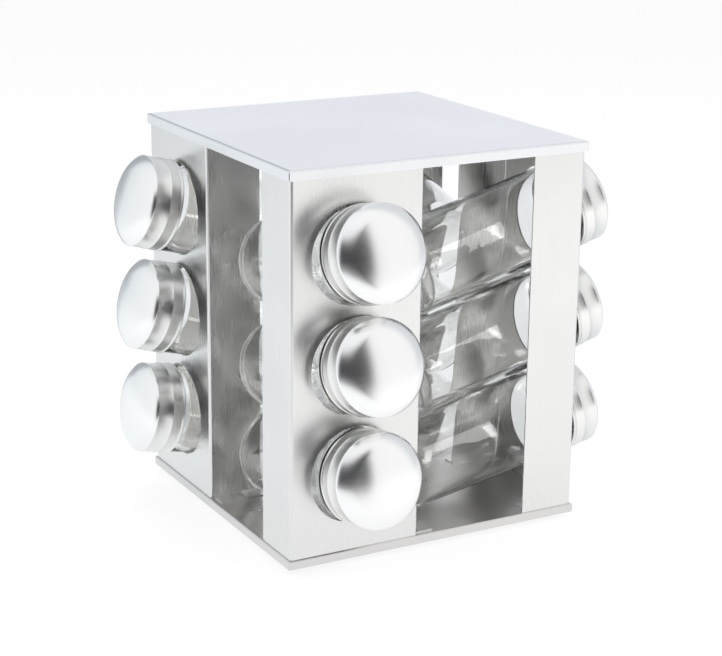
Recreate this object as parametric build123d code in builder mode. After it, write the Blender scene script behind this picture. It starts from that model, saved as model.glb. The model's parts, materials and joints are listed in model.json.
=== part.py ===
"""Square revolving spice rack.

Four punched channel uprights stand between two folded steel pans.  Each upright holds
three glass jars that lean in and down through its holes, with their steel screw lids
outside.  The rack turns on a flat ball race.  Millimetres, +Z up, and the origin lies on
the table under the centre.
"""

import math
import os

from build123d import *

# ------------------------------------------------------------------ driving sizes, mm
sheet = 0.8  # steel sheet of the pans and the uprights
fit_gap = 0.3  # between pieces that move past each other
seat_gap = 0.2  # between pieces that sit inside one another
running_gap = 0.05  # a shaft in its hole

cover_side = 170.0
cover_rim = 5.3
tray_inset = 0.2  # the tray stands in from the cover on each side
tray_rim = 4.6
pan_bend = 1.2  # outside radius of a folded edge
seam_width = 0.4  # open seam at each folded corner
seam_length = 6.0

outer_flange = 30.5
inner_flange = 30.0
upright_bend = 0.8  # inside radius
web_side = 11.25  # web left beside a hole
web_foot = 14.5  # below the lowest hole
web_head = 18.9  # above the highest hole
tab_length = 10.0
tab_width = 26.0
tab_setback = 2.0  # from the web's outer face

lean = 15.0  # degrees, the two upper rows
jar_radius = 23.8
jar_wall = 2.2
jar_base = 4.5
jar_corner = 8.0
punt_depth = 1.2
punt_land = 1.5  # flat ring round the punt
shoulder_start = 5.8  # from the web's outer face, along the jar
neck_step = 3.0  # the neck stands in from the body
neck_wall = 2.3
ridge_height = 0.8
ridge_pitch = 3.6
ridge_start = 3.4  # first ridge above the foot of the neck
ridge_count = 3
lip_round = 0.7

lid_space = 6.5  # between two lids of one upright
lid_stand_off = 9.0  # from the web's outer face to the lid's lower edge
lid_skirt = 15.7  # lower edge to the foot of the shoulder
lid_sheet = 0.5
lid_shoulder = 4.6  # radius of the turn from the skirt to the face
lid_dome = 2.0  # middle of the face above the shoulder's own height
lid_step = 0.25  # the lower tier stands out from the upper one
bead_from_shoulder = 8.5
bead_width = 2.2
bead_height = 0.45
curl_width = 1.6
curl_height = 0.5
liner_wall = 1.6
liner_disc = 1.4
liner_recess = 1.2  # the liner's skirt ends inside the lid

foot_height = 2.0
foot_radius = 5.5
foot_round = 0.4
foot_inset = 9.0  # from the lower plate's edge to a foot's centre
foot_count = 6
race_plate = 1.0
race_space = 3.6
plate_overlap = 12.0  # from the ball circle to the lower plate's edge
plate_step = 4.0  # the upper plate is this much smaller in radius
ball_circle = 48.0
ball_count = 24
groove_depth = 0.25
cage_height = 0.8
cage_margin = 3.0
pivot_radius = 4.0
pivot_head_radius = 6.0
pivot_head = 0.6
pivot_tail = 0.8
washer_margin = 1.0
washer_height = 0.3
tray_eye_margin = 1.5  # round the washer
rivet_radius = 1.6
rivet_head_radius = 3.0
rivet_head = 0.8
rivet_tail_radius = 2.4
rivet_tail = 1.0
rivet_circle = 34.0
rivet_count = 4

screw_radius = 1.5
screw_hole_gap = 0.15
screw_head_radius = 2.8
screw_head = 1.6
screw_tip = 0.4
stud_length = 5.0
nut_across_flats = 5.5
nut_height = 2.4

# ------------------------------------------------------------------ what follows from them
# Jar and lid radii, from the glass outwards.
jar_bore = jar_radius - jar_wall
jar_bore_corner = jar_corner - jar_wall
neck_radius = jar_radius - neck_step
neck_bore = neck_radius - neck_wall
liner_bore = neck_radius + ridge_height + fit_gap
liner_radius = liner_bore + liner_wall
lid_bore = liner_radius + running_gap
lid_radius = lid_bore + lid_sheet
lid_skirt_radius = lid_radius + lid_step
lid_outer_radius = lid_skirt_radius + curl_height

# A leaning jar needs a hole larger than itself.
lean_angle = math.radians(lean)
hole_radius = jar_radius / math.cos(lean_angle) + sheet * math.tan(lean_angle) + fit_gap
row_pitch = 2 * lid_outer_radius + lid_space

# Uprights in plan: the front one's web runs from web_start to web_end along X.
rack_half = cover_side / 2 - pan_bend  # clear of the cover's inside corner
web_width = 2 * (hole_radius + web_side)
web_start = -rack_half
web_end = web_start + web_width
hole_x = (web_start + web_end) / 2
upright_height = web_foot + 2 * hole_radius + 2 * row_pitch + web_head

# Heights above the table.
lower_plate_z = foot_height
race_z = lower_plate_z + race_plate + race_space / 2
upper_plate_z = race_z + race_space / 2
tray_under_z = upper_plate_z + race_plate
tray_top_z = tray_under_z + sheet
cover_under_z = tray_top_z + upright_height
cover_top_z = cover_under_z + sheet

# The jars' rounded ends stop short of the next upright's inner flange.
stop_distance = rack_half - web_end - fit_gap - jar_corner
end_radius = jar_radius - jar_corner
end_reach = math.sqrt(stop_distance**2 - end_radius**2)
jar_reach = end_reach + jar_corner

# The lowest jars lean only until their ends come down to the tray.
bottom_row_z = tray_top_z + web_foot + hole_radius
end_drop = bottom_row_z - tray_top_z - fit_gap - jar_corner
bottom_lean = math.asin(end_drop / stop_distance) - math.atan2(end_radius, end_reach)
rows = {
    "bottom": (bottom_row_z, min(bottom_lean, lean_angle)),
    "middle": (bottom_row_z + row_pitch, lean_angle),
    "top": (bottom_row_z + 2 * row_pitch, lean_angle),
}
sides = {"front": 0, "right": 90, "back": 180, "left": 270}

# Stations along a jar's axis, outwards from the web's outer face.
jar_end = -jar_reach
neck_foot = shoulder_start + neck_step
shoulder_foot = lid_stand_off + lid_skirt
lid_face = shoulder_foot + lid_shoulder + lid_dome
bead_middle = shoulder_foot - bead_from_shoulder
mouth = shoulder_foot - liner_disc

# Turntable radii.
groove_radius = race_space / 2 + groove_depth
ball_radius = groove_radius - running_gap
lower_plate_radius = ball_circle + plate_overlap
upper_plate_radius = lower_plate_radius - plate_step
washer_radius = pivot_head_radius + washer_margin
tray_eye_radius = washer_radius + tray_eye_margin

# Screw places on the front upright's tabs, in plan.
tab_middle_y = -rack_half + tab_setback + tab_width / 2
inner_tab_x = web_end + tab_length / 2
outer_tab_x = web_start + sheet + tab_length / 2
tab_holes = [(inner_tab_x, tab_middle_y), (outer_tab_x, tab_middle_y)]

os.makedirs("parts", exist_ok=True)


def finish(piece, name):
    """Label a finished piece and write its STEP file."""
    piece.label = name
    export_step(piece, f"parts/{name}.step")


def plan_plane(turn, height):
    """Horizontal plane at a height, turned so that its -Y side faces one upright."""
    angle = math.radians(turn)
    return Plane(
        origin=(0, 0, height),
        x_dir=(math.cos(angle), math.sin(angle), 0),
        z_dir=(0, 0, 1),
    )


def face_plane(turn):
    """Outer face of one upright's web: X along the web, Y up, Z outwards."""
    angle = math.radians(turn)
    outward = Vector(math.sin(angle), -math.cos(angle), 0)
    return Plane(
        origin=outward * rack_half,
        x_dir=(math.cos(angle), math.sin(angle), 0),
        z_dir=outward,
    )


def jar_plane(turn, height, tilt):
    """Plane through a jar's axis: X is its radius, Y its axis, outwards and up."""
    face = face_plane(turn)
    axis = face.z_dir * math.cos(tilt) + face.y_dir * math.sin(tilt)
    return Plane(
        origin=face.from_local_coords((hole_x, height, 0)),
        x_dir=face.x_dir,
        z_dir=face.x_dir.cross(axis),
    )


def crown(half_width, rise):
    """Radius and half angle in degrees of the arc that rises over a half width."""
    radius = (half_width**2 + rise**2) / (2 * rise)
    return radius, math.degrees(math.asin(half_width / radius))


def dome(half_width, shoulder, rise):
    """Radius and half angle in degrees of a dome that meets a shoulder's arc in one line.

    The shoulder turns from a wall round a point at the half width, and the dome's middle stands
    the rise above the shoulder's own height.
    """
    height = shoulder + rise
    radius = (half_width**2 + height**2 - shoulder**2) / (2 * rise)
    return radius, math.degrees(math.atan2(half_width, radius - height))


def folded_pan(side, top, rim):
    """Flat pan, open below, with rims folded down and an open seam at each corner."""
    with BuildPart() as pan:
        with BuildSketch(Plane.XY.offset(top - rim)):
            Rectangle(side, side)
        extrude(amount=rim)
        fillet(pan.faces().sort_by(Axis.Z)[-1].edges(), radius=pan_bend)
        offset(amount=-sheet, openings=pan.faces().sort_by(Axis.Z)[0])
        with BuildSketch(Plane.XY.offset(top - rim)):
            with PolarLocations(side / math.sqrt(2), 4, start_angle=45):
                Rectangle(seam_length, seam_width)
        extrude(amount=rim - pan_bend, mode=Mode.SUBTRACT)
    return pan.part


# ------------------------------------------------------------------ cover and tray
with BuildPart() as top_cover:
    add(folded_pan(cover_side, cover_top_z, cover_rim))
finish(top_cover.part, "top_cover")

with BuildPart() as base_tray:
    add(folded_pan(cover_side - 2 * tray_inset, tray_top_z, tray_rim))
    with BuildSketch(Plane.XY.offset(tray_under_z)):
        Circle(tray_eye_radius)
        with PolarLocations(rivet_circle, rivet_count, start_angle=45):
            Circle(rivet_radius + running_gap)
    extrude(amount=sheet, mode=Mode.SUBTRACT)
    for turn in sides.values():
        with BuildSketch(plan_plane(turn, tray_under_z)):
            with Locations(*tab_holes):
                Circle(screw_radius + screw_hole_gap)
        extrude(amount=sheet, mode=Mode.SUBTRACT)
finish(base_tray.part, "base_tray")

# ------------------------------------------------------------------ uprights
outline = [
    (web_start, -rack_half + outer_flange),
    (web_start, -rack_half),
    (web_end, -rack_half),
    (web_end, -rack_half + inner_flange),
]
inline = [
    (web_start + sheet, -rack_half + outer_flange),
    (web_start + sheet, -rack_half + sheet),
    (web_end - sheet, -rack_half + sheet),
    (web_end - sheet, -rack_half + inner_flange),
]
for side, turn in sides.items():
    with BuildPart() as upright:
        with BuildSketch(plan_plane(turn, tray_top_z)):
            with BuildLine():
                outside = FilletPolyline(*outline, radius=upright_bend + sheet)
                inside = FilletPolyline(*inline, radius=upright_bend)
                Line(outside @ 0, inside @ 0)
                Line(outside @ 1, inside @ 1)
            make_face()
        extrude(amount=upright_height)
        for tab_z, hole_gap in (
            (tray_top_z, running_gap),
            (cover_under_z - sheet, screw_hole_gap),
        ):
            with BuildSketch(plan_plane(turn, tab_z)):
                with Locations(
                    (web_end + (tab_length - sheet) / 2, tab_middle_y),
                    (web_start + (tab_length + sheet) / 2, tab_middle_y),
                ):
                    Rectangle(tab_length + sheet, tab_width)
            extrude(amount=sheet)
            with BuildSketch(plan_plane(turn, tab_z)):
                with Locations(*tab_holes):
                    Circle(screw_radius + hole_gap)
            extrude(amount=sheet, mode=Mode.SUBTRACT)
        with BuildSketch(face_plane(turn)):
            with Locations(*[(hole_x, height) for height, tilt in rows.values()]):
                Circle(hole_radius)
        extrude(amount=-2 * sheet, mode=Mode.SUBTRACT)
    finish(upright.part, f"upright_{side}")

# ------------------------------------------------------------------ jars and lids
punt_width = jar_radius - jar_corner - punt_land
punt_arc, punt_angle = crown(punt_width, punt_depth)
shoulder_radius = lid_radius - lid_shoulder
dome_arc, dome_angle = dome(shoulder_radius, lid_shoulder, lid_dome)
dome_middle_z = lid_face - dome_arc
ridge_places = [
    (neck_radius, neck_foot + ridge_start + ridge_pitch * number)
    for number in range(ridge_count)
]
for side, turn in sides.items():
    for row, (height, tilt) in rows.items():
        seat = jar_plane(turn, height, tilt)
        jar_axis = Axis(seat.origin, seat.y_dir)

        with BuildPart() as jar_glass:
            with BuildSketch(seat):
                with BuildLine():
                    punt_middle = (0, jar_end + punt_depth - punt_arc)
                    CenterArc(punt_middle, punt_arc, 90, -punt_angle)
                    Line((punt_width, jar_end), (end_radius, jar_end))
                    CenterArc((end_radius, jar_end + jar_corner), jar_corner, 270, 90)
                    Line((jar_radius, jar_end + jar_corner), (jar_radius, shoulder_start))
                    CenterArc((neck_radius, shoulder_start), neck_step, 0, 90)
                    Line((neck_radius, neck_foot), (neck_radius, mouth - lip_round))
                    lip_z = mouth - lip_round
                    CenterArc((neck_radius - lip_round, lip_z), lip_round, 0, 90)
                    Line((neck_radius - lip_round, mouth), (neck_bore + lip_round, mouth))
                    CenterArc((neck_bore + lip_round, lip_z), lip_round, 90, 90)
                    bore_step = jar_bore - neck_bore
                    Line((neck_bore, lip_z), (neck_bore, shoulder_start + bore_step))
                    CenterArc((neck_bore, shoulder_start), bore_step, 90, -90)
                    floor = jar_end + jar_base
                    Line((jar_bore, shoulder_start), (jar_bore, floor + jar_bore_corner))
                    CenterArc((end_radius, floor + jar_bore_corner), jar_bore_corner, 0, -90)
                    Polyline((end_radius, floor), (0, floor), (0, jar_end + punt_depth))
                make_face()
                with Locations(*ridge_places):
                    Circle(ridge_height)
            revolve(axis=jar_axis)
        finish(jar_glass.part, f"jar_{side}_{row}")

        with BuildPart() as lid_shell:
            with BuildSketch(seat):
                with BuildLine():
                    shoulder = (shoulder_radius, shoulder_foot)
                    dome_middle = (0, dome_middle_z)
                    CenterArc(dome_middle, dome_arc, 90, -dome_angle)
                    CenterArc(shoulder, lid_shoulder, 90 - dome_angle, dome_angle - 90)
                    bead_top = (lid_radius, bead_middle + bead_width / 2)
                    bead_foot = (lid_skirt_radius, bead_middle - bead_width / 2)
                    Line((lid_radius, shoulder_foot), bead_top)
                    bead_crest = (lid_skirt_radius + bead_height, bead_middle)
                    ThreePointArc(bead_top, bead_crest, bead_foot)
                    curl_top = (lid_skirt_radius, lid_stand_off + curl_width)
                    curl_crest = (lid_outer_radius, lid_stand_off + curl_width / 2)
                    curl_foot = (lid_skirt_radius, lid_stand_off)
                    Line(bead_foot, curl_top)
                    ThreePointArc(curl_top, curl_crest, curl_foot)
                    Polyline(curl_foot, (lid_bore, lid_stand_off), (lid_bore, shoulder_foot))
                    CenterArc(shoulder, lid_shoulder - lid_sheet, 0, 90 - dome_angle)
                    CenterArc(dome_middle, dome_arc - lid_sheet, 90 - dome_angle, dome_angle)
                    Line((0, lid_face - lid_sheet), (0, lid_face))
                make_face()
            revolve(axis=jar_axis)
        finish(lid_shell.part, f"lid_{side}_{row}")

        with BuildPart() as lid_liner:
            with BuildSketch(seat):
                with BuildLine():
                    liner_foot = lid_stand_off + liner_recess
                    Polyline(
                        (0, mouth),
                        (0, shoulder_foot),
                        (liner_radius, shoulder_foot),
                        (liner_radius, liner_foot),
                        (liner_bore, liner_foot),
                        (liner_bore, mouth),
                        close=True,
                    )
                make_face()
            revolve(axis=jar_axis)
        finish(lid_liner.part, f"liner_{side}_{row}")

# ------------------------------------------------------------------ turntable
with BuildPart() as lower_plate:
    with BuildSketch(Plane.XY.offset(lower_plate_z)):
        Circle(lower_plate_radius)
        Circle(pivot_radius + running_gap, mode=Mode.SUBTRACT)
    extrude(amount=race_plate)
    with BuildSketch(Plane.XZ):
        with Locations((ball_circle, race_z)):
            Circle(groove_radius)
    revolve(axis=Axis.Z, mode=Mode.SUBTRACT)
finish(lower_plate.part, "turntable_lower_plate")

with BuildPart() as upper_plate:
    with BuildSketch(Plane.XY.offset(upper_plate_z)):
        Circle(upper_plate_radius)
        Circle(pivot_radius + running_gap, mode=Mode.SUBTRACT)
        with PolarLocations(rivet_circle, rivet_count, start_angle=45):
            Circle(rivet_radius + running_gap, mode=Mode.SUBTRACT)
    extrude(amount=race_plate)
    with BuildSketch(Plane.XZ):
        with Locations((ball_circle, race_z)):
            Circle(groove_radius)
    revolve(axis=Axis.Z, mode=Mode.SUBTRACT)
finish(upper_plate.part, "turntable_upper_plate")

with BuildPart() as bearing_balls:
    with Locations(Plane.XY.offset(race_z)):
        with PolarLocations(ball_circle, ball_count):
            Sphere(ball_radius)
finish(bearing_balls.part, "bearing_balls")

with BuildPart() as ball_cage:
    with BuildSketch(Plane.XY.offset(race_z - cage_height / 2)):
        Circle(ball_circle + ball_radius + cage_margin)
        Circle(ball_circle - ball_radius - cage_margin, mode=Mode.SUBTRACT)
        with PolarLocations(ball_circle, ball_count):
            Circle(ball_radius + seat_gap, mode=Mode.SUBTRACT)
    extrude(amount=cage_height)
finish(ball_cage.part, "ball_cage")

with BuildPart() as pivot_washer:
    with BuildSketch(Plane.XY.offset(tray_under_z)):
        Circle(washer_radius)
        Circle(pivot_radius + running_gap, mode=Mode.SUBTRACT)
    extrude(amount=washer_height)
finish(pivot_washer.part, "pivot_washer")

with BuildPart() as pivot_rivet:
    with BuildSketch(Plane.XY.offset(lower_plate_z - pivot_tail)):
        Circle(pivot_head_radius)
    extrude(amount=pivot_tail)
    with BuildSketch(Plane.XY.offset(lower_plate_z)):
        Circle(pivot_radius)
    extrude(amount=tray_under_z + washer_height - lower_plate_z)
    with BuildSketch(Plane.XY.offset(tray_under_z + washer_height)):
        Circle(pivot_head_radius)
    extrude(amount=pivot_head)
finish(pivot_rivet.part, "pivot_rivet")

with BuildPart() as plate_rivets:
    with BuildSketch(Plane.XY.offset(upper_plate_z - rivet_tail)):
        with PolarLocations(rivet_circle, rivet_count, start_angle=45):
            Circle(rivet_tail_radius)
    extrude(amount=rivet_tail)
    with BuildSketch(Plane.XY.offset(upper_plate_z)):
        with PolarLocations(rivet_circle, rivet_count, start_angle=45):
            Circle(rivet_radius)
    extrude(amount=tray_top_z - upper_plate_z)
    with BuildSketch(Plane.XY.offset(tray_top_z)):
        with PolarLocations(rivet_circle, rivet_count, start_angle=45):
            Circle(rivet_head_radius)
    extrude(amount=rivet_head)
finish(plate_rivets.part, "plate_rivets")

with BuildPart() as rubber_feet:
    with BuildSketch():
        with PolarLocations(lower_plate_radius - foot_inset, foot_count):
            Circle(foot_radius)
    extrude(amount=foot_height)
    fillet(rubber_feet.edges().group_by(Axis.Z)[0], radius=foot_round)
finish(rubber_feet.part, "rubber_feet")

# ------------------------------------------------------------------ fasteners
with BuildPart() as tray_screws:
    for turn in sides.values():
        with BuildSketch(plan_plane(turn, tray_under_z - screw_head)):
            with Locations(*tab_holes):
                Circle(screw_head_radius)
        extrude(amount=screw_head)
        with BuildSketch(plan_plane(turn, tray_under_z)):
            with Locations(*tab_holes):
                Circle(screw_radius)
        extrude(amount=2 * sheet + screw_tip)
finish(tray_screws.part, "tray_screws")

with BuildPart() as cover_studs:
    for turn in sides.values():
        with BuildSketch(plan_plane(turn, cover_under_z - stud_length)):
            with Locations(*tab_holes):
                Circle(screw_radius)
        extrude(amount=stud_length)
finish(cover_studs.part, "cover_studs")

with BuildPart() as cover_nuts:
    for turn in sides.values():
        with BuildSketch(plan_plane(turn, cover_under_z - sheet - nut_height)):
            with Locations(*tab_holes):
                RegularPolygon(nut_across_flats / 2, 6, major_radius=False)
                Circle(screw_radius + running_gap, mode=Mode.SUBTRACT)
        extrude(amount=nut_height)
finish(cover_nuts.part, "cover_nuts")
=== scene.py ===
"""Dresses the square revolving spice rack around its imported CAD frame.

The steel sheet, the turntable and the fasteners keep their CAD meshes and get their finishes.
The jars and lids are surfaces of revolution worked out with numpy, with the screw thread, the
rolled edges and the wavy inner wall that the plain solids leave out.  All sizes are in
millimetres unless a name says otherwise, and places come from the frame.
"""

import json
import logging
import math
from dataclasses import dataclass
from enum import Enum
from typing import Any, Callable, Sequence

import bmesh
import bpy
import numpy as np
from mathutils import Matrix, Vector


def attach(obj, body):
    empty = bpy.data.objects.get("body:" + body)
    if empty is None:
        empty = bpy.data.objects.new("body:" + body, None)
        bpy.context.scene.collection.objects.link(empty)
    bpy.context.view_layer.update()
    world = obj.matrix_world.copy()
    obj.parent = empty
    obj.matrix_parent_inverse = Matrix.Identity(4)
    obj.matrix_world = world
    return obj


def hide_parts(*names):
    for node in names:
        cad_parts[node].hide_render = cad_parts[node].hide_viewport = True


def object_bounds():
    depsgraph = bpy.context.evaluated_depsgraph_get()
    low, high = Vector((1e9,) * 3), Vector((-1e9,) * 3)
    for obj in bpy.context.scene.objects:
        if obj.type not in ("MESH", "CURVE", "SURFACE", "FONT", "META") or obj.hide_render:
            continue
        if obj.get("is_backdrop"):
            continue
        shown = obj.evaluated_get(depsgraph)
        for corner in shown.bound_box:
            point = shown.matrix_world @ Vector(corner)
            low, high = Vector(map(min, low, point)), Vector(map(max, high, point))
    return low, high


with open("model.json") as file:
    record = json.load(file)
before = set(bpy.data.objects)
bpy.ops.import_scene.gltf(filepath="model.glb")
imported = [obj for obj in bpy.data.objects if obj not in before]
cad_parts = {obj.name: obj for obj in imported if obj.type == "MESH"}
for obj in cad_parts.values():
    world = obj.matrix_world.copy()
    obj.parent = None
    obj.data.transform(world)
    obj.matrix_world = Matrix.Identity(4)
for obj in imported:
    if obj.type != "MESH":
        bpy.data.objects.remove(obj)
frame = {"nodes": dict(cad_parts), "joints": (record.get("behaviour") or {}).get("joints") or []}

MM = 0.001
BRUSH_MAP = "brush"
TOUCHING = 1e-6  # profile points closer than this are one point
ON_WALL = 0.01  # a radius this close to a wall's belongs to that wall
log = logging.getLogger("spice_rack")

Colour = tuple[float, float, float, float]
Sockets = dict[str | int, Any]


# ---------------------------------------------------------------- small helpers
def hex_to_linear(code: str) -> Colour:
    """Turn an sRGB colour into the linear values that the shader uses.

    Args:
        code: The colour as "#RRGGBB".

    Returns:
        Linear red, green, blue and an alpha of 1.
    """
    parts = [int(code[k : k + 2], 16) / 255 for k in (1, 3, 5)]
    linear = [c / 12.92 if c <= 0.04045 else ((c + 0.055) / 1.055) ** 2.4 for c in parts]
    return (linear[0], linear[1], linear[2], 1.0)


def add_node(
    tree: bpy.types.NodeTree,
    kind: str,
    values: Sockets | None = None,
    links: Sockets | None = None,
    **settings: Any,
) -> bpy.types.Node:
    """Add one node with its settings, socket values and incoming links.

    Args:
        tree: The node tree that gets the node.
        kind: The node's type name.
        values: Socket name or number to the value set on it.
        links: Socket name or number to the output socket that feeds it.
        **settings: Attributes of the node itself.

    Returns:
        The new node.
    """
    node = tree.nodes.new(kind)
    for name, value in settings.items():
        setattr(node, name, value)
    for name, value in (values or {}).items():
        node.inputs[name].default_value = value
    for name, source in (links or {}).items():
        tree.links.new(source, node.inputs[name])
    return node


def new_material(name: str) -> tuple[bpy.types.Material, bpy.types.NodeTree]:
    """Make a material with an empty node tree.

    Args:
        name: The material's name.

    Returns:
        The material and its node tree.
    """
    material = bpy.data.materials.new(name)
    material.use_nodes = True
    material.node_tree.nodes.clear()
    return material, material.node_tree


def close_material(tree: bpy.types.NodeTree, shader: bpy.types.Node) -> None:
    """Join a shader to a new material output.

    Args:
        tree: The material's node tree.
        shader: The node whose first output is the surface.
    """
    add_node(tree, "ShaderNodeOutputMaterial", links={"Surface": shader.outputs[0]})


def dress(piece: bpy.types.Object, *materials: bpy.types.Material) -> None:
    """Give a piece its materials in slot order.

    Args:
        piece: A CAD node or a new piece.
        *materials: The materials, slot by slot.
    """
    if piece.data.materials:  # clearing an empty list would still reset each face's slot
        piece.data.materials.clear()
    for material in materials:
        piece.data.materials.append(material)


def node_points(node: str) -> np.ndarray:
    """All vertices of a CAD node at rest, in metres, one row each."""
    mesh = frame["nodes"][node].data
    flat = np.empty(len(mesh.vertices) * 3, np.float32)
    mesh.vertices.foreach_get("co", flat)
    return flat.reshape(-1, 3).astype(float)


# ---------------------------------------------------------------- finishes
class Grain(Enum):
    """Which way the brush lines of a metal finish run."""

    MAP = "along U of the piece's own brush map"
    X = "along X"
    Z = "up and down"


@dataclass(frozen=True)
class BrushedStainless:
    """Chromium-nickel stainless sheet, satin brushed with a fine abrasive belt.

    The belt leaves shallow parallel lines, so the eye sees soft reflections that are smeared
    across the lines and stay sharper along them, with a faint streakiness.
    """

    name: str
    tint: str  # colour of the metal at a right angle
    grain: Grain
    roughness: float
    smear: float  # anisotropy, 0 to 1
    line_width: float = 0.55  # real lines are 0.05; drawn this coarse to show
    line_length: float = 38.0
    line_depth: float = 0.003
    line_share: float = 0.5  # how much the lines add to the clouds in the roughness
    unevenness: float = 0.035  # roughness, up and down
    cloud_size: float = 45.0  # handling marks and polish that varies
    smear_turn: float = 0.25  # turns, which puts the smear across the lines

    def scale(self) -> tuple[float, float, float]:
        """Noise cells per metre along X, Y and Z (U, V and nothing for a map)."""
        fine, long = 1 / (self.line_width * MM), 1 / (self.line_length * MM)
        return {
            Grain.MAP: (long, fine, 0.0),
            Grain.X: (long, fine, fine),
            Grain.Z: (fine, fine, long),
        }[self.grain]

    def build(self) -> bpy.types.Material:
        """Make the material.

        Returns:
            The finished material.
        """
        material, tree = new_material(self.name)
        if self.grain is Grain.MAP:
            place = add_node(tree, "ShaderNodeUVMap", uv_map=BRUSH_MAP).outputs["UV"]
            tangent = add_node(tree, "ShaderNodeTangent", direction_type="UV_MAP", uv_map=BRUSH_MAP)
        else:
            place = add_node(tree, "ShaderNodeTexCoord").outputs["Object"]
            tangent = add_node(tree, "ShaderNodeTangent", direction_type="RADIAL", axis="Z")
        lines_at = add_node(
            tree, "ShaderNodeMapping", {"Scale": self.scale()}, {"Vector": place}
        ).outputs["Vector"]
        lines = add_node(
            tree, "ShaderNodeTexNoise", {"Scale": 1.0, "Detail": 3.0}, {"Vector": lines_at}
        ).outputs["Fac"]
        clouds = add_node(
            tree,
            "ShaderNodeTexNoise",
            {"Scale": 1 / (self.cloud_size * MM), "Detail": 2.0},
            {"Vector": place},
        ).outputs["Fac"]
        mixed = add_node(
            tree,
            "ShaderNodeMath",
            {1: self.line_share},
            {0: lines, 2: clouds},
            operation="MULTIPLY_ADD",
        ).outputs[0]
        roughness = add_node(
            tree,
            "ShaderNodeMapRange",
            {
                "From Min": 0.5,
                "From Max": 1.0,
                "To Min": self.roughness - self.unevenness,
                "To Max": self.roughness + self.unevenness,
            },
            {"Value": mixed},
        ).outputs["Result"]
        bump = add_node(
            tree,
            "ShaderNodeBump",
            {"Strength": 1.0, "Distance": self.line_depth * MM},
            {"Height": lines},
        ).outputs["Normal"]
        metal = add_node(
            tree,
            "ShaderNodeBsdfPrincipled",
            {
                "Base Color": hex_to_linear(self.tint),
                "Metallic": 1.0,
                "Anisotropic": self.smear,
                "Anisotropic Rotation": self.smear_turn,
            },
            {"Roughness": roughness, "Normal": bump, "Tangent": tangent.outputs["Tangent"]},
        )
        close_material(tree, metal)
        return material


@dataclass(frozen=True)
class PressedGlass:
    """Clear soda-lime jar glass, pressed and blown in an iron mould.

    It has a faint grey-green cast, a fire-polished gloss, and slow waves in its surface that
    bend what is seen through it.
    """

    name: str
    tint: str
    index: float = 1.52
    wave_size: float = 14.0
    wave_depth: float = 0.05

    def build(self) -> bpy.types.Material:
        """Make the material.

        Returns:
            The finished material.
        """
        material, tree = new_material(self.name)
        place = add_node(tree, "ShaderNodeTexCoord").outputs["Object"]
        waves = add_node(
            tree,
            "ShaderNodeTexNoise",
            {"Scale": 1 / (self.wave_size * MM), "Detail": 1.0},
            {"Vector": place},
        ).outputs["Fac"]
        bump = add_node(
            tree,
            "ShaderNodeBump",
            {"Strength": 1.0, "Distance": self.wave_depth * MM},
            {"Height": waves},
        ).outputs["Normal"]
        glass = add_node(
            tree,
            "ShaderNodeBsdfPrincipled",
            {
                "Base Color": hex_to_linear(self.tint),
                "Roughness": 0.0,
                "IOR": self.index,
                "Transmission Weight": 1.0,
            },
            {"Normal": bump},
        )
        close_material(tree, glass)
        return material


@dataclass(frozen=True)
class MouldedPart:
    """Plastic or rubber moulded against a lightly grained steel tool.

    The tool's grain gives a soft, slightly uneven sheen.
    """

    name: str
    tint: str
    roughness: float
    grain_size: float = 0.8
    grain_depth: float = 0.01
    unevenness: float = 0.08  # roughness, up and down

    def build(self) -> bpy.types.Material:
        """Make the material.

        Returns:
            The finished material.
        """
        material, tree = new_material(self.name)
        place = add_node(tree, "ShaderNodeTexCoord").outputs["Object"]
        grain = add_node(
            tree,
            "ShaderNodeTexNoise",
            {"Scale": 1 / (self.grain_size * MM), "Detail": 2.0},
            {"Vector": place},
        ).outputs["Fac"]
        roughness = add_node(
            tree,
            "ShaderNodeMapRange",
            {
                "To Min": self.roughness - self.unevenness,
                "To Max": self.roughness + self.unevenness,
            },
            {"Value": grain},
        ).outputs["Result"]
        bump = add_node(
            tree,
            "ShaderNodeBump",
            {"Strength": 1.0, "Distance": self.grain_depth * MM},
            {"Height": grain},
        ).outputs["Normal"]
        body = add_node(
            tree,
            "ShaderNodeBsdfPrincipled",
            {"Base Color": hex_to_linear(self.tint)},
            {"Roughness": roughness, "Normal": bump},
        )
        close_material(tree, body)
        return material


@dataclass(frozen=True)
class ZincPlate:
    """Pressed or turned steel with a bright zinc coat.

    The coat's crystals show as faint patches of lighter and darker grey.
    """

    name: str
    light: str
    dark: str
    roughness: float
    patch_size: float = 2.5
    unevenness: float = 0.06  # roughness, up and down

    def build(self) -> bpy.types.Material:
        """Make the material.

        Returns:
            The finished material.
        """
        material, tree = new_material(self.name)
        place = add_node(tree, "ShaderNodeTexCoord").outputs["Object"]
        patches = add_node(
            tree,
            "ShaderNodeTexVoronoi",
            {"Scale": 1 / (self.patch_size * MM), "Randomness": 1.0},
            {"Vector": place},
            feature="F1",
        ).outputs["Distance"]
        shade = add_node(tree, "ShaderNodeValToRGB", links={"Fac": patches})
        shade.color_ramp.elements[0].color = hex_to_linear(self.dark)
        shade.color_ramp.elements[1].color = hex_to_linear(self.light)
        roughness = add_node(
            tree,
            "ShaderNodeMapRange",
            {
                "To Min": self.roughness - self.unevenness,
                "To Max": self.roughness + self.unevenness,
            },
            {"Value": patches},
        ).outputs["Result"]
        metal = add_node(
            tree,
            "ShaderNodeBsdfPrincipled",
            {"Metallic": 1.0},
            {"Base Color": shade.outputs["Color"], "Roughness": roughness},
        )
        close_material(tree, metal)
        return material


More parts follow.
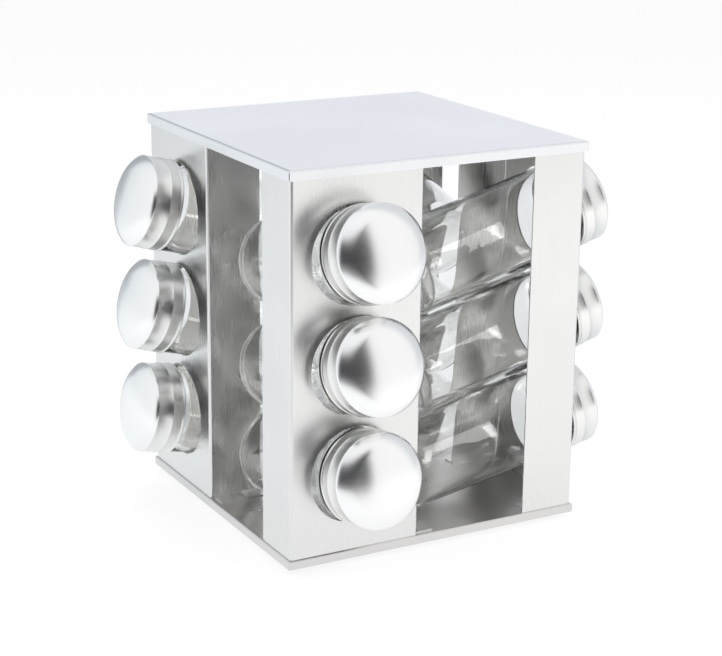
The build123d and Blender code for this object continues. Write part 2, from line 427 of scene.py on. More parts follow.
# ---------------------------------------------------------------- surfaces of revolution
@dataclass(frozen=True)
class Seat:
    """The axis that a jar and its lid share, with directions across and up from it.

    Attributes:
        point: A point on the axis at station 0, in metres.
        across: Level unit direction, to the right when the lid is looked at.
        up: Unit direction square to the other two.
        axis: Unit direction out of the jar's mouth.
        length: From station 0 to the piece's outer end, in millimetres.
        radius: The piece's largest radius, in millimetres.
    """

    point: np.ndarray
    across: np.ndarray
    up: np.ndarray
    axis: np.ndarray
    length: float
    radius: float

    @classmethod
    def of_node(cls, node: str, axis: Sequence[float]) -> "Seat":
        """Find the seat of a turned CAD node from its vertices and the direction of its axis.

        Args:
            node: The CAD node's name.
            axis: The direction of its axis.

        Returns:
            The seat, with station 0 at the node's inner end.
        """
        unit = np.array(axis, float) / np.linalg.norm(axis)
        across = np.cross((0.0, 0.0, 1.0), unit)
        across /= np.linalg.norm(across)
        up = np.cross(unit, across)
        vertices = node_points(node)
        spans = [vertices @ d for d in (across, up, unit)]
        middle = [(s.min() + s.max()) / 2 for s in spans]
        start, end = spans[2].min(), spans[2].max()
        radius = np.hypot(spans[0] - middle[0], spans[1] - middle[1]).max()
        point = middle[0] * across + middle[1] * up + start * unit
        return cls(point, across, up, unit, (end - start) / MM, radius / MM)


def arc(
    centre: tuple[float, float], radius: float, start: float, end: float, count: int
) -> np.ndarray:
    """Points on an arc of a profile: centre plus radius times the cosine and sine of the angle.

    Args:
        centre: Radius and station of the arc's centre.
        radius: The arc's radius.
        start: First angle in degrees, 0 being away from the axis.
        end: Last angle in degrees.
        count: How many points.

    Returns:
        One row per point: radius, station.
    """
    turn = np.radians(np.linspace(start, end, count))
    return np.column_stack((centre[0] + radius * np.cos(turn), centre[1] + radius * np.sin(turn)))


def points(*pairs: tuple[float, float]) -> np.ndarray:
    """Plain corners of a profile, one row per pair of radius and station."""
    return np.array(pairs, float)


def wall(radius: float, start: float, end: float, count: int) -> np.ndarray:
    """Points of a profile along a straight wall of one radius, from one station to another."""
    return np.column_stack((np.full(count, radius), np.linspace(start, end, count)))


@dataclass
class Zone:
    """One stretch of a profile: its points, and which material slot it wears."""

    stretch: np.ndarray
    slot: int = 0
    flat_map: bool = False  # brush lines run straight across instead of round


Ripple = Callable[[np.ndarray, np.ndarray, np.ndarray], np.ndarray]


def turn_profile(
    name: str, seat: Seat, zones: Sequence[Zone], sectors: int, ripple: Ripple | None = None
) -> bpy.types.Object:
    """Carry a profile round a seat's axis and close it at both poles.

    A point is seat + across r cos(t) + up r sin(t) + axis s, for the profile's radius r and
    station s, and the angle t of each of the sectors.

    Args:
        name: The piece's name.
        seat: The axis and its directions.
        zones: The profile from one pole to the other, stretch by stretch.
        sectors: Facets round the axis.
        ripple: Optional, gives what to add to the radius from radius, station and angle.

    Returns:
        The new object, its mesh closed and its faces outwards.
    """
    rows = np.vstack([zone.stretch for zone in zones])
    owner = np.concatenate([np.full(len(zone.stretch), k) for k, zone in enumerate(zones)])
    kept = np.ones(len(rows), bool)
    kept[1:] = np.linalg.norm(np.diff(rows, axis=0), axis=1) > TOUCHING
    rows, owner = rows[kept], owner[kept]
    along = np.concatenate(([0.0], np.cumsum(np.linalg.norm(np.diff(rows, axis=0), axis=1))))

    rings = rows[1:-1]
    turn = 2 * math.pi * np.arange(sectors) / sectors
    radius = np.repeat(rings[:, :1], sectors, axis=1)
    station = np.repeat(rings[:, 1:], sectors, axis=1)
    angle = np.broadcast_to(turn, radius.shape)
    if ripple is not None:
        radius = radius + ripple(radius, station, angle)
    flat = (
        radius[..., None] * np.cos(angle)[..., None] * seat.across
        + radius[..., None] * np.sin(angle)[..., None] * seat.up
        + station[..., None] * seat.axis
    ).reshape(-1, 3)
    poles = rows[[0, -1], 1][:, None] * seat.axis
    vertices = seat.point + MM * np.vstack((poles[:1], flat, poles[1:]))

    count = len(rings)
    here = np.arange(sectors)
    after = (here + 1) % sectors
    base = 1 + sectors * np.arange(count - 1)[:, None]
    quads = np.stack(
        (base + here, base + after, base + sectors + after, base + sectors + here), axis=-1
    ).reshape(-1, 4)
    last = 1 + sectors * (count - 1)
    first_fan = np.column_stack((np.zeros(sectors, int), 1 + after, 1 + here))
    last_fan = np.column_stack((last + here, last + after, np.full(sectors, last + sectors)))

    mesh = bpy.data.meshes.new(name)
    mesh.from_pydata(
        vertices.tolist(), [], quads.tolist() + first_fan.tolist() + last_fan.tolist()
    )
    row_of_face = np.concatenate(
        (np.repeat(np.arange(1, count), sectors), np.zeros(sectors, int), np.full(sectors, count))
    )
    zone_of_face = owner[np.minimum(row_of_face + 1, len(rows) - 1)]
    slots = np.array([zone.slot for zone in zones])[zone_of_face]
    mesh.polygons.foreach_set("material_index", slots.astype(np.int32))
    mesh.polygons.foreach_set("use_smooth", np.ones(len(slots), bool))

    quad_rows = np.repeat(np.arange(1, count), sectors)[:, None] + np.array([0, 0, 1, 1])
    quad_turns = np.tile(here, count - 1)[:, None] + np.array([0, 1, 1, 0])
    fan_turns = np.column_stack((here + 0.5, here + 1, here))
    fan_rows = np.tile([0, 1, 1], (sectors, 1))
    end_turns = np.column_stack((here, here + 1, here + 0.5))
    end_rows = np.tile([count, count, count + 1], (sectors, 1))
    loop_rows = np.concatenate((quad_rows.ravel(), fan_rows.ravel(), end_rows.ravel()))
    loop_turns = np.concatenate((quad_turns.ravel(), fan_turns.ravel(), end_turns.ravel()))
    loop_flat = np.array([zone.flat_map for zone in zones])[zone_of_face]
    loop_flat = np.repeat(loop_flat, [4] * len(quads) + [3] * (2 * sectors))
    loop_angle = 2 * math.pi * loop_turns / sectors
    loop_radius = rows[loop_rows, 0]
    u = np.where(loop_flat, loop_radius * np.cos(loop_angle), loop_angle * seat.radius)
    v = np.where(loop_flat, loop_radius * np.sin(loop_angle), along[loop_rows])
    brush = mesh.uv_layers.new(name=BRUSH_MAP)
    brush.data.foreach_set("uv", (np.column_stack((u, v)) * MM).ravel().astype(np.float32))

    work = bmesh.new()
    work.from_mesh(mesh)
    bmesh.ops.recalc_face_normals(work, faces=work.faces)
    work.to_mesh(mesh)
    work.free()
    mesh.update()
    piece = bpy.data.objects.new(name, mesh)
    bpy.context.scene.collection.objects.link(piece)
    return piece


# ---------------------------------------------------------------- jars and lids
@dataclass
class Jar:
    """A round glass jar with a rounded base, a stepped neck and a two-start screw thread."""

    node: str
    axis: Sequence[float]
    wall: float = 2.2
    base: float = 4.5
    base_corner: float = 8.0
    punt_width: float = 14.3  # radius of the hollow under the base
    punt_depth: float = 1.2
    punt_gap: float = 0.2  # flat ring between the hollow and the corner
    neck_length: float = 14.5
    neck_step: float = 3.0
    neck_wall: float = 2.3
    lip_round: float = 0.9
    neck_gap: float = 0.3  # the neck's plain wall starts this far above the shoulder
    inner_gap: float = 1.0  # the inner wall ends this far below the shoulder
    thread_height: float = 0.8
    thread_width: float = 1.5
    thread_lead: float = 7.2
    thread_turns: float = 1.3
    thread_start: float = 3.0
    thread_fade: float = 0.06  # of a turn, at each end
    thread_crest: float = 0.6  # power below 1, which blunts the crest
    wave: float = 0.12  # the inner wall is nowhere quite round
    wave_lengths: tuple[float, float] = (19.0, 31.0)  # along the axis, per radian
    sectors: int = 96

    def profile(self, seat: Seat) -> list[Zone]:
        """The jar's outline from the outside of its base over the lip to the inside.

        Args:
            seat: The jar's seat, station 0 at its base.

        Returns:
            The outline as zones.
        """
        body, top = seat.radius, seat.length
        neck = body - self.neck_step
        bore, neck_bore = body - self.wall, neck - self.neck_wall
        corner = self.base_corner
        inner_corner = corner - self.wall
        flat = body - corner
        shoulder = top - self.neck_length - self.neck_step
        punt = (self.punt_width**2 + self.punt_depth**2) / (2 * self.punt_depth)
        punt_angle = math.degrees(math.asin(self.punt_width / punt))
        inner_step = bore - neck_bore
        outside = [
            arc((0, self.punt_depth - punt), punt, 90, 90 - punt_angle, 10),
            points((flat - self.punt_gap, 0)),
            arc((flat, corner), corner, -90, 0, 18),
            wall(body, corner, shoulder, 20),
            arc((neck, shoulder), self.neck_step, 0, 90, 8),
            wall(neck, shoulder + self.neck_step + self.neck_gap, top - self.lip_round, 60),
            arc((neck - self.lip_round, top - self.lip_round), self.lip_round, 0, 90, 6),
        ]
        inside = [
            arc((neck_bore + self.lip_round, top - self.lip_round), self.lip_round, 90, 180, 6),
            arc((neck_bore, shoulder), inner_step, 90, 0, 8),
            wall(bore, shoulder - self.inner_gap, self.base + inner_corner, 28),
            arc((flat, self.base + inner_corner), inner_corner, 0, -90, 12),
            points((flat / 2, self.base), (0, self.base)),
        ]
        return [Zone(np.vstack(outside)), Zone(np.vstack(inside))]

    def ripple(self, seat: Seat) -> Ripple:
        """The screw thread on the neck and the slow waves of the inner wall.

        The thread is a bump where the station, less the lead times the share of a turn, comes
        within half its width of one of the two starts.  It fades in and out at its ends.

        Args:
            seat: The jar's seat.

        Returns:
            A function of radius, station and angle that gives what to add to the radius.
        """
        neck = seat.radius - self.neck_step
        low = seat.length - self.neck_length + self.thread_start
        bore = seat.radius - self.wall

        def added(radius: np.ndarray, station: np.ndarray, angle: np.ndarray) -> np.ndarray:
            total = np.zeros_like(radius)
            outer = np.abs(radius - neck) < ON_WALL
            for begin in (0.0, math.pi):
                for lap in range(3):
                    turned = angle - begin + 2 * math.pi * (lap - 1)
                    share = turned / (2 * math.pi)
                    middle = low + self.thread_lead * share
                    near = np.clip(1 - ((station - middle) / (self.thread_width / 2)) ** 2, 0, 1)
                    fade = np.clip(share / self.thread_fade, 0, 1) * np.clip(
                        (self.thread_turns - share) / self.thread_fade, 0, 1
                    )
                    ridge = self.thread_height * near**self.thread_crest
                    total = np.maximum(total, ridge * fade)
            inner = (np.abs(radius - bore) < ON_WALL) & (station < low)
            short, long = self.wave_lengths
            waves = np.sin(2 * angle + 0.7) * np.sin(station / short)
            waves = waves + 0.6 * np.sin(3 * angle + station / long)
            return np.where(outer, total, 0.0) + np.where(inner, self.wave * waves, 0.0)

        return added

    def build(self, glass: bpy.types.Material) -> bpy.types.Object:
        """Make the jar in place of its CAD node.

        Args:
            glass: The glass it wears.

        Returns:
            The jar.
        """
        seat = Seat.of_node(self.node, self.axis)
        jar = turn_profile(
            f"{self.node}_glass", seat, self.profile(seat), self.sectors, self.ripple(seat)
        )
        dress(jar, glass)
        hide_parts(self.node)
        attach(jar, self.node)
        return jar


@dataclass
class Lid:
    """A drawn steel lid: a low dome, a wide shoulder, a rim, a two-step skirt, and a curl."""

    node: str
    axis: Sequence[float]
    sheet: float = 0.5
    shoulder: float = 14.5  # radius of the turn from the rim to the dome
    shoulder_slope: float = 50.0  # degrees, where the shoulder leaves the rim
    dome_slope: float = 11.7  # degrees, where the dome meets the shoulder
    rim_width: float = 1.1
    rim_rise: float = 0.1
    skirt_inset: float = 0.75  # upper tier inside the curl
    step: float = 0.25  # the lower tier stands out from the upper
    bead_height: float = 7.2  # from the lower edge
    bead_width: float = 1.2
    bead_rise: float = 0.22
    groove_top: float = 2.1
    groove_width: float = 0.9
    groove_depth: float = 0.45
    curl_height: float = 1.3
    curl_rise: float = 0.25  # the curl stands out from the lower tier
    curl_gap: float = 0.15  # the inner wall starts this far above the lower edge
    crease: float = 50.0  # degrees; steeper bends stay sharp
    sectors: int = 128

    def profile(self, seat: Seat) -> list[Zone]:
        """The lid's outline from the dome's top round the skirt and back inside.

        The dome's arc runs into the shoulder's arc where both have the dome's slope, and the
        shoulder meets the rim at a crease.  An arc of radius R from slope a to slope b goes out
        by R (sin b - sin a) and down by R (cos a - cos b).

        Args:
            seat: The lid's seat, station 0 at its lower edge.

        Returns:
            The outline as zones: face, skirt and inside.
        """
        top = seat.length
        upper = seat.radius - self.skirt_inset
        lower = upper + self.step
        bore = upper - self.sheet
        flat, steep = math.radians(self.dome_slope), math.radians(self.shoulder_slope)
        across = upper - self.shoulder * (math.sin(steep) - math.sin(flat))
        dome = across / math.sin(flat)
        middle = (
            across - self.shoulder * math.sin(flat),
            top - dome + (dome - self.shoulder) * math.cos(flat),
        )
        rim_z = middle[1] + self.shoulder * math.cos(steep)
        rim = np.linspace(0, 1, 7)
        rim_line = np.column_stack(
            (upper + self.rim_rise * np.sin(math.pi * rim), rim_z - self.rim_width * rim)
        )
        half_bead = self.bead_width / 2
        bead = np.linspace(0, 1, 9)
        bead_line = np.column_stack(
            (
                upper + self.step * bead + self.bead_rise * np.sin(math.pi * bead),
                self.bead_height + half_bead - self.bead_width * bead,
            )
        )
        groove = np.linspace(0, 1, 7)
        groove_line = np.column_stack(
            (
                lower - self.groove_depth * np.sin(math.pi * groove),
                self.groove_top - self.groove_width * groove,
            )
        )
        curl = self.curl_height / 2
        curl_out = lower + self.curl_rise - curl
        slopes = 90 - self.dome_slope, 90 - self.shoulder_slope
        centre = (0, top - dome)
        face = np.vstack(
            (arc(centre, dome, 90, slopes[0], 24), arc(middle, self.shoulder, *slopes, 18))
        )
        curl_line = arc((curl_out, curl), curl, 60, -90, 10)
        skirt = np.vstack((rim_line, bead_line, groove_line, curl_line))
        inside = np.vstack(
            (
                points((bore, self.curl_gap), (bore, rim_z)),
                arc(middle, self.shoulder - self.sheet, slopes[1], slopes[0], 8),
                arc(centre, dome - self.sheet, slopes[0], 90, 12),
            )
        )
        inside[-1, 0] = 0.0
        face[0, 0] = 0.0
        return [Zone(face, 0, True), Zone(skirt, 1), Zone(inside, 2)]

    def build(self, *metals: bpy.types.Material) -> bpy.types.Object:
        """Make the lid in place of its CAD node.

        Args:
            *metals: The finishes of its face, its skirt and its inside.

        Returns:
            The lid.
        """
        seat = Seat.of_node(self.node, self.axis)
        lid = turn_profile(f"{self.node}_shell", seat, self.profile(seat), self.sectors)
        lid.data.set_sharp_from_angle(angle=math.radians(self.crease))
        dress(lid, *metals)
        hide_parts(self.node)
        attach(lid, self.node)
        return lid


@dataclass
class JarSet:
    """The twelve jars with their lids and liners, found by the joints that carry them."""

    glass: PressedGlass = PressedGlass("clear_jar_glass", "#FCFCFB")
    face: BrushedStainless = BrushedStainless(
        "lid_face_stainless", "#F8F8F8", Grain.MAP, roughness=0.22, smear=0.5, line_depth=0.006
    )
    skirt: BrushedStainless = BrushedStainless(
        "lid_skirt_stainless", "#F3F3F1", Grain.MAP, roughness=0.34, smear=0.6
    )
    # Painted shade: the lid's inside is the same steel as its face and skirt, tinted darker for the
    # shade in its hollow.
    inside: BrushedStainless = BrushedStainless(
        "lid_inside_painted_shade_stainless", "#D0CFCC", Grain.MAP, roughness=0.38, smear=0.2
    )
    liner: MouldedPart = MouldedPart("polyethylene_liner", "#E4E6E3", 0.45)

    def build(self) -> None:
        """Make every jar and lid, and dress each liner."""
        glass, liner = self.glass.build(), self.liner.build()
        metals = [finish.build() for finish in (self.face, self.skirt, self.inside)]
        for joint in frame["joints"]:
            child = joint["child"]
            if child.startswith("jar_"):
                Jar(child, joint["axis"]).build(glass)
                log.info("%s: glass jar", child)
            elif child.startswith("lid_"):
                Lid(child, joint["axis"]).build(*metals)
                dress(frame["nodes"][child.replace("lid_", "liner_")], liner)
                log.info("%s: steel lid and its liner", child)


# ---------------------------------------------------------------- sheet metal
@dataclass
class Sheetwork:
    """The cover, the tray and the four uprights, folded from stainless sheet."""

    # Painted light and shade: one stainless sheet in three tints. The cover on top is lighter and
    # bluer, and the tray low down is darker and warmer than the uprights.
    cover: BrushedStainless = BrushedStainless(
        "cover_painted_light_stainless", "#F2F3F5", Grain.X, roughness=0.34, smear=0.3
    )
    tray: BrushedStainless = BrushedStainless(
        "tray_painted_shade_stainless", "#DEDCDB", Grain.X, roughness=0.30, smear=0.3
    )
    upright: BrushedStainless = BrushedStainless(
        "upright_stainless", "#E7E7E6", Grain.Z, roughness=0.28, smear=0.3, line_depth=0.002
    )

    def build(self) -> None:
        """Dress the sheet pieces."""
        cover, tray, upright = self.cover.build(), self.tray.build(), self.upright.build()
        for name, piece in frame["nodes"].items():
            if name == "top_cover":
                dress(piece, cover)
            elif name == "base_tray":
                dress(piece, tray)
            elif name.startswith("upright_"):
                dress(piece, upright)
            else:
                continue
            log.info("%s: brushed stainless sheet", name)


# ---------------------------------------------------------------- turntable and fasteners
@dataclass
class Hardware:
    """The turntable under the tray, and the screws, studs, nuts and rivets."""

    plate: ZincPlate = ZincPlate("zinc_plated_plate", "#C6C9CB", "#A9ADB0", 0.36)
    fastener: ZincPlate = ZincPlate("zinc_plated_fastener", "#CDCFD0", "#B2B5B7", 0.3, 1.2)
    ball: ZincPlate = ZincPlate("polished_bearing_steel", "#D5D6D8", "#C9CACC", 0.12, 1.0)
    cage: MouldedPart = MouldedPart("nylon_cage", "#D9D8CF", 0.5)
    rubber: MouldedPart = MouldedPart("moulded_rubber", "#26262A", 0.7, 0.6, 0.03)

    def build(self) -> None:
        """Dress the turntable and the fasteners."""
        plate, fastener, ball = self.plate.build(), self.fastener.build(), self.ball.build()
        cage, rubber = self.cage.build(), self.rubber.build()
        wears = {
            "turntable_lower_plate": plate,
            "turntable_upper_plate": plate,
            "pivot_washer": plate,
            "pivot_rivet": fastener,
            "plate_rivets": fastener,
            "tray_screws": fastener,
            "cover_studs": fastener,
            "cover_nuts": fastener,
            "bearing_balls": ball,
            "ball_cage": cage,
            "rubber_feet": rubber,
        }
        for name, material in wears.items():
            dress(frame["nodes"][name], material)
            log.info("%s: %s", name, material.name)


# ---------------------------------------------------------------- studio
def outward(turn: float, rise: float) -> Vector:
    """The unit direction at an angle round from the front, to the right, and an angle up."""
    return Vector(
        (math.sin(turn) * math.cos(rise), -math.cos(turn) * math.cos(rise), math.sin(rise))
    )


@dataclass
class Camera:
    """A long lens, low over one corner of the rack."""

    azimuth: float = -29.05
    elevation: float = 16.554
    roll: float = 0.638
    distance: float = 1009.4
    aim: tuple[float, float, float] = (-0.2, -2.6, 95.9)
    sensor: float = 36.0
    lens: float = 93.57
    clip: tuple[float, float] = (50.0, 50000.0)

    def build(self) -> None:
        """Make the camera, looking at its aim and turned by its roll about its own axis."""
        turn, rise, tilt = (math.radians(a) for a in (self.azimuth, self.elevation, self.roll))
        back = outward(turn, rise)
        level = Vector((0, 0, 1)).cross(back).normalized()
        top = back.cross(level)
        right = level * math.cos(tilt) + top * math.sin(tilt)
        upward = top * math.cos(tilt) - level * math.sin(tilt)
        data = bpy.data.cameras.new("camera")
        data.sensor_width = self.sensor
        data.lens = self.lens
        data.clip_start, data.clip_end = (c * MM for c in self.clip)
        camera = bpy.data.objects.new("camera", data)
        place = (Vector(self.aim) + back * self.distance) * MM
        facing = Matrix((right, upward, back)).transposed().to_4x4()
        camera.matrix_world = Matrix.Translation(place) @ facing
        bpy.context.scene.collection.objects.link(camera)
        bpy.context.scene.camera = camera


@dataclass
class Softbox:
    """A square area lamp that looks at the rack, and that metal doesn't mirror."""

    name: str
    azimuth: float  # degrees round from the front, to the right
    elevation: float
    watts: float
    distance: float = 1100.0
    side: float = 700.0
    tint: str = "#FFFFFF"

    def build(self, aim: Vector) -> None:
        """Make the lamp.

        Args:
            aim: What it looks at, in metres.
        """
        turn, rise = math.radians(self.azimuth), math.radians(self.elevation)
        back = outward(turn, rise)
        data = bpy.data.lights.new(self.name, "AREA")
        data.size = self.side * MM
        data.energy = self.watts
        data.color = hex_to_linear(self.tint)[:3]
        lamp = bpy.data.objects.new(self.name, data)
        lamp.location = aim + back * (self.distance * MM)
        lamp.rotation_mode = "QUATERNION"
        lamp.rotation_quaternion = back.to_track_quat("Z", "Y")
        lamp.visible_glossy = False
        bpy.context.scene.collection.objects.link(lamp)


def angle_band(
    tree: bpy.types.NodeTree,
    angle: bpy.types.NodeSocket,
    low: float,
    high: float,
    softness: float,
) -> bpy.types.NodeSocket:
    """A soft-edged band of an angle: 1 between low and high, 0 outside.

    Args:
        tree: The node tree.
        angle: The angle's socket, in radians.
        low: Lower end in degrees.
        high: Upper end in degrees.
        softness: Width of each soft edge in degrees.

    Returns:
        The socket that holds the band.
    """
    ends = []
    for at, share in ((low, 0.0), (high, 1.0)):
        ends.append(
            add_node(
                tree,
                "ShaderNodeMapRange",
                {
                    "From Min": math.radians(at - softness / 2),
                    "From Max": math.radians(at + softness / 2),
                    "To Min": share,
                    "To Max": 1.0 - share,
                },
                {"Value": angle},
                interpolation_type="SMOOTHSTEP",
            ).outputs["Result"]
        )
    return add_node(
        tree, "ShaderNodeMath", links={0: ends[0], 1: ends[1]}, operation="MULTIPLY"
    ).outputs[0]


def azimuth_of(tree: bpy.types.NodeTree, part: Any) -> bpy.types.NodeSocket:
    """The angle of a direction round from the front, positive to the right, in radians.

    Args:
        tree: The node tree.
        part: Outputs of a Separate XYZ node that hold the direction.

    Returns:
        The angle's socket: the arc tangent of X over minus Y.
    """
    front = add_node(
        tree, "ShaderNodeMath", {1: -1.0}, {0: part["Y"]}, operation="MULTIPLY"
    ).outputs[0]
    return add_node(
        tree, "ShaderNodeMath", links={0: part["X"], 1: front}, operation="ARCTAN2"
    ).outputs[0]


def shiny_ray(tree: bpy.types.NodeTree, ray: Any) -> bpy.types.NodeSocket:
    """1 for what metal mirrors or glass lets through, and 0 for other rays.

    Args:
        tree: The node tree.
        ray: Outputs of its Light Path node.

    Returns:
        The socket that holds it.
    """
    return add_node(
        tree,
        "ShaderNodeMath",
        links={0: ray["Is Glossy Ray"], 1: ray["Is Transmission Ray"]},
        operation="MAXIMUM",
    ).outputs[0]


@dataclass(frozen=True)
class Cyclorama:
    """The white walls all round, lit unevenly, as metal and glass show them."""

    tones: tuple[tuple[float, str], ...] = (  # degrees round from the front, to the right
        (-180.0, "#A9AEB4"),
        (-166.0, "#B0B5BB"),
        (-157.0, "#E6ECF0"),
        (-140.0, "#F2F6F8"),
        (-90.0, "#F8FAFC"),
        (20.0, "#FFFFFF"),
        (48.0, "#FFFFFF"),
        (80.0, "#DCE0E4"),
        (120.0, "#DCE0E4"),
        (142.0, "#F1F4F9"),
        (160.0, "#F1F4F9"),
        (172.0, "#A9AEB4"),
        (180.0, "#A9AEB4"),
    )

    def build(
        self, tree: bpy.types.NodeTree, azimuth: bpy.types.NodeSocket
    ) -> bpy.types.NodeSocket:
        """Add the ramp of tones.

        Args:
            tree: The node tree.
            azimuth: The angle round from the front, in radians.

        Returns:
            The colour's socket.
        """
        place = add_node(
            tree,
            "ShaderNodeMapRange",
            {"From Min": -math.pi, "From Max": math.pi},
            {"Value": azimuth},
        ).outputs["Result"]
        ramp = add_node(tree, "ShaderNodeValToRGB", links={"Fac": place})
        stops = ramp.color_ramp.elements
        stops.remove(stops[1])
        for k, (degrees, tone) in enumerate(self.tones):
            stop = stops[0] if k == 0 else stops.new(degrees / 360 + 0.5)
            stop.position = degrees / 360 + 0.5
            stop.color = hex_to_linear(tone)
        return ramp.outputs["Color"]


@dataclass
class Surroundings:
    """A white studio whose darkest part is the unlit side in front of the rack."""

    light: float = 0.75  # what plain surfaces receive from all round
    white: str = "#FFFFFF"
    walls: Cyclorama = Cyclorama()
    unlit: str = "#39393B"
    unlit_from: float = -66.0  # degrees round from the front, to the right
    unlit_to: float = 17.0
    unlit_top: float = 35.0  # it fades upwards
    unlit_foot: float = -60.0  # below the horizon, where the table hides it
    side_softness: float = 5.0
    top_softness: float = 18.0

    def build(self) -> None:
        """Make the world: white to the eye, and a studio to metal and glass."""
        world = bpy.data.worlds.new("studio")
        world.use_nodes = True
        tree = world.node_tree
        tree.nodes.clear()
        direction = add_node(tree, "ShaderNodeTexCoord").outputs["Generated"]
        part = add_node(tree, "ShaderNodeSeparateXYZ", links={"Vector": direction}).outputs
        azimuth = azimuth_of(tree, part)
        elevation = add_node(
            tree, "ShaderNodeMath", links={0: part["Z"]}, operation="ARCSINE"
        ).outputs[0]
        unlit = add_node(
            tree,
            "ShaderNodeMath",
            links={
                0: angle_band(tree, azimuth, self.unlit_from, self.unlit_to, self.side_softness),
                1: angle_band(tree, elevation, self.unlit_foot, self.unlit_top, self.top_softness),
            },
            operation="MULTIPLY",
        ).outputs[0]
        white = hex_to_linear(self.white)
        studio = add_node(
            tree,
            "ShaderNodeMix",
            {"B": hex_to_linear(self.unlit)},
            {"A": self.walls.build(tree, azimuth), "Factor": unlit},
            data_type="RGBA",
        ).outputs["Result"]
        seen = add_node(tree, "ShaderNodeBackground", {"Strength": 1.0}, {"Color": studio})
        plain = add_node(tree, "ShaderNodeBackground", {"Color": white, "Strength": 1.0})
        fill = add_node(tree, "ShaderNodeBackground", {"Color": white, "Strength": self.light})
        ray = add_node(tree, "ShaderNodeLightPath").outputs
        inner = add_node(
            tree,
            "ShaderNodeMixShader",
            links={0: shiny_ray(tree, ray), 1: fill.outputs[0], 2: seen.outputs[0]},
        ).outputs[0]
        outer = add_node(
            tree,
            "ShaderNodeMixShader",
            links={0: ray["Is Camera Ray"], 1: inner, 2: plain.outputs[0]},
        ).outputs[0]
        add_node(tree, "ShaderNodeOutputWorld", links={"Surface": outer})
        bpy.context.scene.world = world


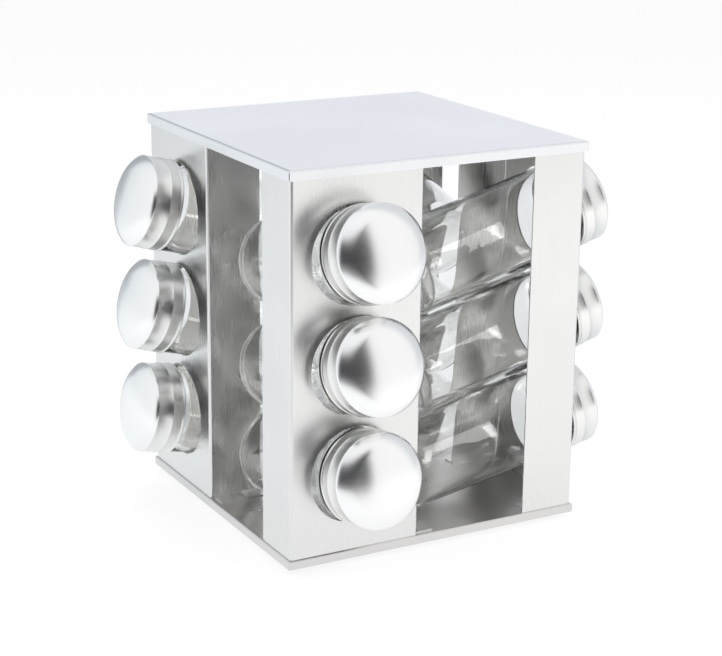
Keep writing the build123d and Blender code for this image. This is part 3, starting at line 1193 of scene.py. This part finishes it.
@dataclass
class Table:
    """A wide white table top under the rack."""

    half_side: float = 3000.0
    paper: str = "#FFFFFF"
    walls: Cyclorama = Cyclorama()
    glow: float = 0.85  # how much of its white shows whatever falls on it
    mirrored_glow: float = 1.05  # how bright metal and glass see it
    # Painted shadow: metal and glass see the table a little dimmer close to the rack, for the
    # rack's shadow on it.
    near_shadow_glow: float = 1.0  # the same close to the rack
    near_reach: tuple[float, float] = (150.0, 600.0)  # from the turning axis
    unlit: str = "#57575A"  # the table on the unlit side
    unlit_from: float = -70.0  # degrees round from the front, to the right
    unlit_to: float = 14.0
    unlit_seen_from: tuple[float, float, float] = (-47.0, -110.0, 0.0)  # under the front lids
    unlit_reach: tuple[float, float] = (520.0, 840.0)  # from the turning axis
    unlit_softness: float = 6.0

    def build(self) -> None:
        """Make the table top."""
        reach = self.half_side * MM
        corners = [(-reach, -reach, 0), (reach, -reach, 0), (reach, reach, 0), (-reach, reach, 0)]
        mesh = bpy.data.meshes.new("table")
        mesh.from_pydata(corners, [], [(0, 1, 2, 3)])
        table = bpy.data.objects.new("table", mesh)
        bpy.context.scene.collection.objects.link(table)
        dress(table, self.paper_white())
        table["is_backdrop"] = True

    def mirrored(self, tree: bpy.types.NodeTree) -> bpy.types.Node:
        """The table as metal and glass see it: white, with a painted shadow near the rack, dark on
        one side.

        Args:
            tree: The material's node tree.

        Returns:
            The emission node.
        """
        place = add_node(tree, "ShaderNodeTexCoord").outputs["Object"]
        seen_from = [c * MM for c in self.unlit_seen_from]
        shifted = add_node(
            tree, "ShaderNodeVectorMath", {1: seen_from}, {0: place}, operation="SUBTRACT"
        ).outputs["Vector"]
        from_axis, from_lids = [
            azimuth_of(tree, add_node(tree, "ShaderNodeSeparateXYZ", links={"Vector": at}).outputs)
            for at in (place, shifted)
        ]
        away = add_node(
            tree, "ShaderNodeVectorMath", links={0: place}, operation="LENGTH"
        ).outputs["Value"]
        strength, far = [
            add_node(
                tree,
                "ShaderNodeMapRange",
                {
                    "From Min": ends[0] * MM,
                    "From Max": ends[1] * MM,
                    "To Min": levels[0],
                    "To Max": levels[1],
                },
                {"Value": away},
            ).outputs["Result"]
            for ends, levels in (
                (self.near_reach, (self.near_shadow_glow, self.mirrored_glow)),
                (self.unlit_reach, (0.0, 1.0)),
            )
        ]
        side = angle_band(tree, from_lids, self.unlit_from, self.unlit_to, self.unlit_softness)
        dark = add_node(
            tree, "ShaderNodeMath", links={0: far, 1: side}, operation="MULTIPLY"
        ).outputs[0]
        colour = add_node(
            tree,
            "ShaderNodeMix",
            {"B": hex_to_linear(self.unlit)},
            {"A": self.walls.build(tree, from_axis), "Factor": dark},
            data_type="RGBA",
        ).outputs["Result"]
        return add_node(tree, "ShaderNodeEmission", links={"Color": colour, "Strength": strength})

    def paper_white(self) -> bpy.types.Material:
        """White paper that stays white to the eye and keeps a soft shadow.

        Returns:
            The material.
        """
        material, tree = new_material("table_paper")
        white = hex_to_linear(self.paper)
        paper = add_node(tree, "ShaderNodeBsdfDiffuse", {"Color": white})
        plain = add_node(tree, "ShaderNodeEmission", {"Color": white, "Strength": 1.0})
        ray = add_node(tree, "ShaderNodeLightPath").outputs
        shiny = shiny_ray(tree, ray)
        glow = add_node(
            tree,
            "ShaderNodeMixShader",
            links={0: shiny, 1: plain.outputs[0], 2: self.mirrored(tree).outputs[0]},
        ).outputs[0]
        either = add_node(
            tree, "ShaderNodeMath", links={0: ray["Is Camera Ray"], 1: shiny}, operation="MAXIMUM"
        ).outputs[0]
        share = add_node(
            tree, "ShaderNodeMath", {1: self.glow}, {0: either}, operation="MULTIPLY"
        ).outputs[0]
        mixed = add_node(
            tree, "ShaderNodeMixShader", links={0: share, 1: paper.outputs[0], 2: glow}
        )
        close_material(tree, mixed)
        return material


@dataclass
class Studio:
    """Everything round the rack: surroundings, table, lamps and camera."""

    glass_bounces: int = 24  # light gets into the rack through many glass walls
    metal_bounces: int = 12
    lamps: tuple[Softbox, ...] = (
        Softbox("key_softbox", azimuth=42, elevation=30, watts=9.0),
        Softbox("side_softbox", azimuth=-100, elevation=25, watts=5.0),
        Softbox("overhead_softbox", azimuth=180, elevation=75, watts=6.0),
    )

    def build(self) -> None:
        """Set the studio up."""
        Surroundings().build()
        Table().build()
        low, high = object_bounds()
        for lamp in self.lamps:
            lamp.build((low + high) / 2)
        Camera().build()
        scene = bpy.context.scene
        scene.view_settings.view_transform = "Standard"
        scene.cycles.max_bounces = self.glass_bounces
        scene.cycles.transmission_bounces = self.glass_bounces
        scene.cycles.glossy_bounces = self.metal_bounces


def main() -> None:
    """Dress the rack and set the studio up."""
    logging.basicConfig(level=logging.INFO, format="%(name)s: %(message)s")
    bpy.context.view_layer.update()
    for section in (JarSet(), Sheetwork(), Hardware(), Studio()):
        section.build()


if __name__ == "__main__":
    main()
